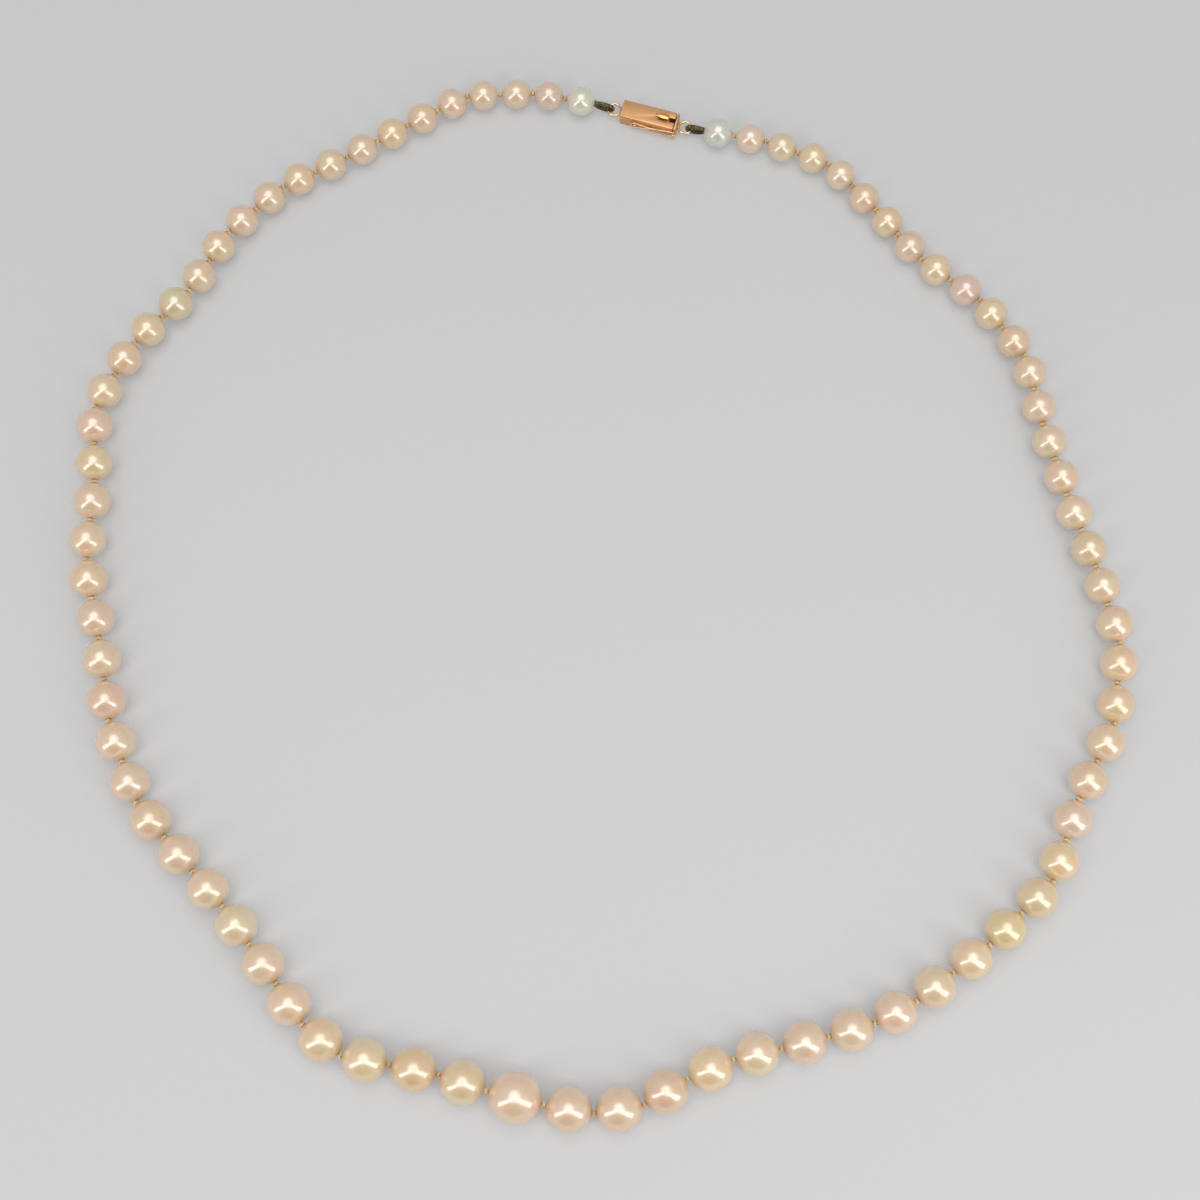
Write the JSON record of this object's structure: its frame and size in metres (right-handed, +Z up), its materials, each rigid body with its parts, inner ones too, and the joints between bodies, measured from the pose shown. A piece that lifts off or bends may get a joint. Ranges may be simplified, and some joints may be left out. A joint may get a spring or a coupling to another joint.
{
  "type": "pearl necklace",
  "caption": "Single-row necklace of graduated, individually knotted pearls, closed by a small gold box clasp with wire end rings and a side safety catch.",
  "frame": {"origin": "middle of the closed loop, on the surface it lies on", "axes": "+Z up, +Y towards the clasp, which lies at the back; the largest pearl is at the front; +X to the right seen from the front"},
  "size_m": [0.1483, 0.1541, 0.007],
  "materials": {
    "pearl": "satin nacre, soft pink and green overtone",
    "gold": "satin rose gold",
    "gimp": "tarnished coiled wire"
  },
  "bodies": {
    "clasp_box": {"clasp_box": "gold", "clasp_lid": "gold", "box_ring": "gold", "catch_stud": "gold"},
    "tongue": {"tongue": "gold", "tongue_ring": "gold", "catch_tube": "gold"},
    "spring_leaf": {"spring_leaf": "gold", "thumb_piece": "gold"},
    "safety_catch": {"safety_catch": "gold"},
    "gimp_left": {"gimp_left": "gimp", "pearls_01_02": "pearl"},
    "pearls_03_04": {"pearls_03_04": "pearl"},
    "pearls_05_06": {"pearls_05_06": "pearl"},
    "pearls_07_08": {"pearls_07_08": "pearl"},
    "pearls_09_10": {"pearls_09_10": "pearl"},
    "pearls_11_12": {"pearls_11_12": "pearl"},
    "pearls_13_14": {"pearls_13_14": "pearl"},
    "pearls_15_16": {"pearls_15_16": "pearl"},
    "pearls_17_18": {"pearls_17_18": "pearl"},
    "pearls_19_20": {"pearls_19_20": "pearl"},
    "pearls_21_22": {"pearls_21_22": "pearl"},
    "pearls_23_24": {"pearls_23_24": "pearl"},
    "pearls_25_26": {"pearls_25_26": "pearl"},
    "pearls_27_28": {"pearls_27_28": "pearl"},
    "pearls_29_30": {"pearls_29_30": "pearl"},
    "pearl_31": {"pearl_31": "pearl"},
    "pearl_32": {"pearl_32": "pearl"},
    "pearl_33": {"pearl_33": "pearl"},
    "pearl_34": {"pearl_34": "pearl"},
    "pearl_35": {"pearl_35": "pearl"},
    "pearl_36": {"pearl_36": "pearl"},
    "pearl_37": {"pearl_37": "pearl"},
    "pearl_38": {"pearl_38": "pearl"},
    "pearl_39": {"pearl_39": "pearl"},
    "gimp_right": {"gimp_right": "gimp", "pearls_76_77": "pearl"},
    "pearls_74_75": {"pearls_74_75": "pearl"},
    "pearls_72_73": {"pearls_72_73": "pearl"},
    "pearls_70_71": {"pearls_70_71": "pearl"},
    "pearls_68_69": {"pearls_68_69": "pearl"},
    "pearls_66_67": {"pearls_66_67": "pearl"},
    "pearls_64_65": {"pearls_64_65": "pearl"},
    "pearls_62_63": {"pearls_62_63": "pearl"},
    "pearls_60_61": {"pearls_60_61": "pearl"},
    "pearls_58_59": {"pearls_58_59": "pearl"},
    "pearls_56_57": {"pearls_56_57": "pearl"},
    "pearls_54_55": {"pearls_54_55": "pearl"},
    "pearls_52_53": {"pearls_52_53": "pearl"},
    "pearls_50_51": {"pearls_50_51": "pearl"},
    "pearls_48_49": {"pearls_48_49": "pearl"},
    "pearl_47": {"pearl_47": "pearl"},
    "pearl_46": {"pearl_46": "pearl"},
    "pearl_45": {"pearl_45": "pearl"},
    "pearl_44": {"pearl_44": "pearl"},
    "pearl_43": {"pearl_43": "pearl"},
    "pearl_42": {"pearl_42": "pearl"},
    "pearl_41": {"pearl_41": "pearl"},
    "pearl_40": {"pearl_40": "pearl"}
  },
  "joints": [
    {"name": "tongue_slide", "type": "slide", "parent": "clasp_box", "child": "tongue", "axis": [0.9607, -0.2777, 0], "range_m": [0, 0.0075]},
    {"name": "thumb_press", "type": "hinge", "parent": "tongue", "child": "spring_leaf", "pos_m": [0.00528, 0.07216, 0.00089], "axis": [0.2777, 0.9607, 0], "range_deg": [0, 4], "stiffness_Nm_per_rad": 0.02},
    {"name": "safety_swing", "type": "hinge", "parent": "tongue", "child": "safety_catch", "pos_m": [0.01127, 0.06867, 0.00115], "axis": [0, 0, 1], "range_deg": [0, 101]},
    {"name": "gimp_left_swing", "type": "hinge", "parent": "clasp_box", "child": "gimp_left", "pos_m": [0.00154, 0.07324, 0.00115], "axis": [0, 0, 1], "range_deg": [-2.61, 0.6]},
    {"name": "knot_02_03", "type": "hinge", "parent": "gimp_left", "child": "pearls_03_04", "pos_m": [-0.00977, 0.07514, 0.00219], "axis": [0, 0, 1], "range_deg": [-0.71, 4.83]},
    {"name": "knot_04_05", "type": "hinge", "parent": "pearls_03_04", "child": "pearls_05_06", "pos_m": [-0.0197, 0.07459, 0.00223], "axis": [0, 0, 1], "range_deg": [-1.03, 11.67]},
    {"name": "knot_06_07", "type": "hinge", "parent": "pearls_05_06", "child": "pearls_07_08", "pos_m": [-0.02848, 0.06956, 0.00228], "axis": [0, 0, 1], "range_deg": [-0.6, 2.61]},
    {"name": "knot_08_09", "type": "hinge", "parent": "pearls_07_08", "child": "pearls_09_10", "pos_m": [-0.03733, 0.06425, 0.00233], "axis": [0, 0, 1], "range_deg": [-17.5, 1.31]},
    {"name": "fold_back", "type": "hinge", "parent": "pearls_09_10", "child": "pearls_11_12", "pos_m": [-0.04661, 0.05932, 0.00238], "axis": [-0.9841, 0.1776, 0], "range_deg": [0, 30]},
    {"name": "back_sway", "type": "hinge", "parent": "pearls_11_12", "child": "pearls_13_14", "pos_m": [-0.05429, 0.05187, 0.00242], "axis": [0, 0, 1], "range_deg": [-8, 8]},
    {"name": "knot_14_15", "type": "hinge", "parent": "pearls_13_14", "child": "pearls_15_16", "pos_m": [-0.05947, 0.04229, 0.00247], "axis": [0, 0, 1], "range_deg": [-8.36, 8.36]},
    {"name": "knot_16_17", "type": "hinge", "parent": "pearls_15_16", "child": "pearls_17_18", "pos_m": [-0.06691, 0.03408, 0.00252], "axis": [0, 0, 1], "range_deg": [-0.9, 0.9]},
    {"name": "fold_sides", "type": "hinge", "parent": "pearls_17_18", "child": "pearls_19_20", "pos_m": [-0.0719, 0.02398, 0.00257], "axis": [-0.9857, 0.1683, 0], "range_deg": [0, 30]},
    {"name": "side_sway", "type": "hinge", "parent": "pearls_19_20", "child": "pearls_21_22", "pos_m": [-0.07111, 0.01255, 0.00261], "axis": [0, 0, 1], "range_deg": [-8, 8]},
    {"name": "knot_22_23", "type": "hinge", "parent": "pearls_21_22", "child": "pearls_23_24", "pos_m": [-0.07153, 0.0009, 0.00266], "axis": [0, 0, 1], "range_deg": [-8.62, 8.62]},
    {"name": "knot_24_25", "type": "hinge", "parent": "pearls_23_24", "child": "pearls_25_26", "pos_m": [-0.0688, -0.01062, 0.00271], "axis": [0, 0, 1], "range_deg": [-1.31, 1.31]},
    {"name": "fold_front", "type": "hinge", "parent": "pearls_25_26", "child": "pearls_27_28", "pos_m": [-0.06662, -0.02245, 0.00276], "axis": [-0.9852, 0.1713, 0], "range_deg": [0, 30]},
    {"name": "front_sway", "type": "hinge", "parent": "pearls_27_28", "child": "pearls_29_30", "pos_m": [-0.0621, -0.0338, 0.0028], "axis": [0, 0, 1], "range_deg": [-7, 7]},
    {"name": "front_point", "type": "hinge", "parent": "pearls_29_30", "child": "pearl_31", "pos_m": [-0.05395, -0.04317, 0.00286], "axis": [0, 0, 1], "range_deg": [-7, 7]},
    {"name": "knot_31_32", "type": "hinge", "parent": "pearl_31", "child": "pearl_32", "pos_m": [-0.04973, -0.04781, 0.00289], "axis": [0, 0, 1], "range_deg": [-12.15, 12.15]},
    {"name": "knot_32_33", "type": "hinge", "parent": "pearl_32", "child": "pearl_33", "pos_m": [-0.04595, -0.05288, 0.00291], "axis": [0, 0, 1], "range_deg": [-11.54, 11.54]},
    {"name": "knot_33_34", "type": "hinge", "parent": "pearl_33", "child": "pearl_34", "pos_m": [-0.04217, -0.05801, 0.00294], "axis": [0, 0, 1], "range_deg": [-1.66, 1.66]},
    {"name": "knot_34_35", "type": "hinge", "parent": "pearl_34", "child": "pearl_35", "pos_m": [-0.03855, -0.06332, 0.00296], "axis": [0, 0, 1], "range_deg": [-1.53, 1.53]},
    {"name": "knot_35_36", "type": "hinge", "parent": "pearl_35", "child": "pearl_36", "pos_m": [-0.03347, -0.06732, 0.00298], "axis": [0, 0, 1], "range_deg": [-1.71, 1.71]},
    {"name": "knot_36_37", "type": "hinge", "parent": "pearl_36", "child": "pearl_37", "pos_m": [-0.02706, -0.06846, 0.00301], "axis": [0, 0, 1], "range_deg": [-0.85, 0.85]},
    {"name": "knot_37_38", "type": "hinge", "parent": "pearl_37", "child": "pearl_38", "pos_m": [-0.02062, -0.06976, 0.00303], "axis": [0, 0, 1], "range_deg": [-1.66, 1.66]},
    {"name": "knot_38_39", "type": "hinge", "parent": "pearl_38", "child": "pearl_39", "pos_m": [-0.01434, -0.07182, 0.0035], "axis": [0, 0, 1], "range_deg": [-0.85, 0.85]},
    {"name": "gimp_right_swing", "type": "hinge", "parent": "tongue", "child": "gimp_right", "pos_m": [0.01396, 0.06965, 0.00115], "axis": [0, 0, 1], "range_deg": [-2.61, 0.6]},
    {"name": "knot_75_76", "type": "hinge", "parent": "gimp_right", "child": "pearls_74_75", "pos_m": [0.02508, 0.06696, 0.00219], "axis": [0, 0, 1], "range_deg": [-3.4, 0.64]},
    {"name": "knot_73_74", "type": "hinge", "parent": "pearls_74_75", "child": "pearls_72_73", "pos_m": [0.03428, 0.0632, 0.00223], "axis": [0, 0, 1], "range_deg": [-11.49, 1.02]},
    {"name": "knot_71_72", "type": "hinge", "parent": "pearls_72_73", "child": "pearls_70_71", "pos_m": [0.04097, 0.05559, 0.00228], "axis": [0, 0, 1], "range_deg": [-0.6, 2.62]},
    {"name": "knot_69_70", "type": "hinge", "parent": "pearls_70_71", "child": "pearls_68_69", "pos_m": [0.0473, 0.04745, 0.00233], "axis": [0, 0, 1], "range_deg": [-1.09, 12.88]},
    {"name": "knot_67_68", "type": "hinge", "parent": "pearls_68_69", "child": "pearls_66_67", "pos_m": [0.05551, 0.04089, 0.00238], "axis": [-0.9841, 0.1776, 0], "range_deg": [-1, 31]},
    {"name": "knot_65_66", "type": "hinge", "parent": "pearls_66_67", "child": "pearls_64_65", "pos_m": [0.06157, 0.03207, 0.00242], "axis": [0, 0, 1], "range_deg": [-8.08, 8.08]},
    {"name": "knot_63_64", "type": "hinge", "parent": "pearls_64_65", "child": "pearls_62_63", "pos_m": [0.06344, 0.02134, 0.00247], "axis": [0, 0, 1], "range_deg": [-5.9, 5.9]},
    {"name": "knot_61_62", "type": "hinge", "parent": "pearls_62_63", "child": "pearls_60_61", "pos_m": [0.06617, 0.0106, 0.00252], "axis": [0, 0, 1], "range_deg": [-2.14, 2.14]},
    {"name": "knot_59_60", "type": "hinge", "parent": "pearls_60_61", "child": "pearls_58_59", "pos_m": [0.06949, -0.00016, 0.00257], "axis": [-0.9857, 0.1683, 0], "range_deg": [-1, 31]},
    {"name": "knot_57_58", "type": "hinge", "parent": "pearls_58_59", "child": "pearls_56_57", "pos_m": [0.07208, -0.01133, 0.00261], "axis": [0, 0, 1], "range_deg": [-9.23, 9.23]},
    {"name": "knot_55_56", "type": "hinge", "parent": "pearls_56_57", "child": "pearls_54_55", "pos_m": [0.07037, -0.02285, 0.00266], "axis": [0, 0, 1], "range_deg": [-8.57, 8.57]},
    {"name": "knot_53_54", "type": "hinge", "parent": "pearls_54_55", "child": "pearls_52_53", "pos_m": [0.06479, -0.03329, 0.00271], "axis": [0, 0, 1], "range_deg": [-1.29, 1.29]},
    {"name": "knot_51_52", "type": "hinge", "parent": "pearls_52_53", "child": "pearls_50_51", "pos_m": [0.0606, -0.04457, 0.00276], "axis": [-0.9852, 0.1713, 0], "range_deg": [-1, 31]},
    {"name": "knot_49_50", "type": "hinge", "parent": "pearls_50_51", "child": "pearls_48_49", "pos_m": [0.05169, -0.05293, 0.0028], "axis": [0, 0, 1], "range_deg": [-3.25, 3.25]},
    {"name": "knot_47_48", "type": "hinge", "parent": "pearls_48_49", "child": "pearl_47", "pos_m": [0.0417, -0.0603, 0.00286], "axis": [0, 0, 1], "range_deg": [-1.68, 1.68]},
    {"name": "knot_46_47", "type": "hinge", "parent": "pearl_47", "child": "pearl_46", "pos_m": [0.03612, -0.06318, 0.00289], "axis": [0, 0, 1], "range_deg": [-3.98, 3.98]},
    {"name": "knot_45_46", "type": "hinge", "parent": "pearl_46", "child": "pearl_45", "pos_m": [0.03003, -0.06489, 0.00291], "axis": [0, 0, 1], "range_deg": [-1.63, 1.63]},
    {"name": "knot_44_45", "type": "hinge", "parent": "pearl_45", "child": "pearl_44", "pos_m": [0.02385, -0.06643, 0.00294], "axis": [0, 0, 1], "range_deg": [-1.66, 1.66]},
    {"name": "knot_43_44", "type": "hinge", "parent": "pearl_44", "child": "pearl_43", "pos_m": [0.01758, -0.06781, 0.00296], "axis": [0, 0, 1], "range_deg": [-2.67, 2.67]},
    {"name": "knot_42_43", "type": "hinge", "parent": "pearl_43", "child": "pearl_42", "pos_m": [0.0116, -0.07029, 0.00298], "axis": [0, 0, 1], "range_deg": [-1.66, 1.66]},
    {"name": "knot_41_42", "type": "hinge", "parent": "pearl_42", "child": "pearl_41", "pos_m": [0.00597, -0.07356, 0.00301], "axis": [0, 0, 1], "range_deg": [-3.75, 3.75]},
    {"name": "knot_40_41", "type": "hinge", "parent": "pearl_41", "child": "pearl_40", "pos_m": [-0.00049, -0.07471, 0.00303], "axis": [0, 0, 1], "range_deg": [-1.81, 1.81]}
  ],
  "couplings": [
    {"joint": "safety_swing", "follows": "tongue_slide", "rad_per_m": 232.71},
    {"joint": "gimp_left_swing", "follows": "tongue_slide", "rad_per_m": -4.6671},
    {"joint": "knot_02_03", "follows": "tongue_slide", "rad_per_m": 9.5966},
    {"joint": "knot_04_05", "follows": "tongue_slide", "rad_per_m": 24.761},
    {"joint": "knot_06_07", "follows": "tongue_slide", "rad_per_m": 4.6669},
    {"joint": "knot_08_09", "follows": "tongue_slide", "rad_per_m": -37.688},
    {"joint": "knot_14_15", "follows": "back_sway", "ratio": -0.89295},
    {"joint": "knot_16_17", "follows": "back_sway", "ratio": -0.045},
    {"joint": "knot_22_23", "follows": "side_sway", "ratio": -0.92214},
    {"joint": "knot_24_25", "follows": "side_sway", "ratio": -0.092081},
    {"joint": "knot_31_32", "follows": "front_sway", "ratio": -1.5126},
    {"joint": "knot_32_33", "follows": "front_point", "ratio": -1.4332},
    {"joint": "knot_33_34", "follows": "front_sway", "ratio": 0.15},
    {"joint": "knot_34_35", "follows": "front_point", "ratio": 0.13404},
    {"joint": "knot_35_36", "follows": "front_sway", "ratio": 0.15676},
    {"joint": "knot_36_37", "follows": "front_point", "ratio": 0.045102},
    {"joint": "knot_37_38", "follows": "front_sway", "ratio": -0.15},
    {"joint": "knot_38_39", "follows": "front_point", "ratio": 0.04522},
    {"joint": "gimp_right_swing", "follows": "tongue_slide", "rad_per_m": -4.669},
    {"joint": "knot_75_76", "follows": "tongue_slide", "rad_per_m": -6.4281},
    {"joint": "knot_73_74", "follows": "tongue_slide", "rad_per_m": -24.354},
    {"joint": "knot_71_72", "follows": "tongue_slide", "rad_per_m": 4.6896},
    {"joint": "knot_69_70", "follows": "tongue_slide", "rad_per_m": 27.432},
    {"joint": "knot_67_68", "follows": "fold_back", "ratio": 1},
    {"joint": "knot_65_66", "follows": "back_sway", "ratio": 0.86157},
    {"joint": "knot_63_64", "follows": "back_sway", "ratio": -0.61362},
    {"joint": "knot_61_62", "follows": "back_sway", "ratio": -0.1859},
    {"joint": "knot_59_60", "follows": "fold_sides", "ratio": 1},
    {"joint": "knot_57_58", "follows": "side_sway", "ratio": 0.99206},
    {"joint": "knot_55_56", "follows": "side_sway", "ratio": -0.91701},
    {"joint": "knot_53_54", "follows": "side_sway", "ratio": -0.089272},
    {"joint": "knot_51_52", "follows": "fold_front", "ratio": 1},
    {"joint": "knot_49_50", "follows": "front_sway", "ratio": 0.3565},
    {"joint": "knot_47_48", "follows": "front_point", "ratio": 0.15288},
    {"joint": "knot_46_47", "follows": "front_sway", "ratio": -0.45166},
    {"joint": "knot_45_46", "follows": "front_point", "ratio": -0.14717},
    {"joint": "knot_44_45", "follows": "front_sway", "ratio": 0.15084},
    {"joint": "knot_43_44", "follows": "front_point", "ratio": 0.28131},
    {"joint": "knot_42_43", "follows": "front_sway", "ratio": -0.15},
    {"joint": "knot_41_42", "follows": "front_point", "ratio": -0.42258},
    {"joint": "knot_40_41", "follows": "front_sway", "ratio": -0.17068}
  ]
}
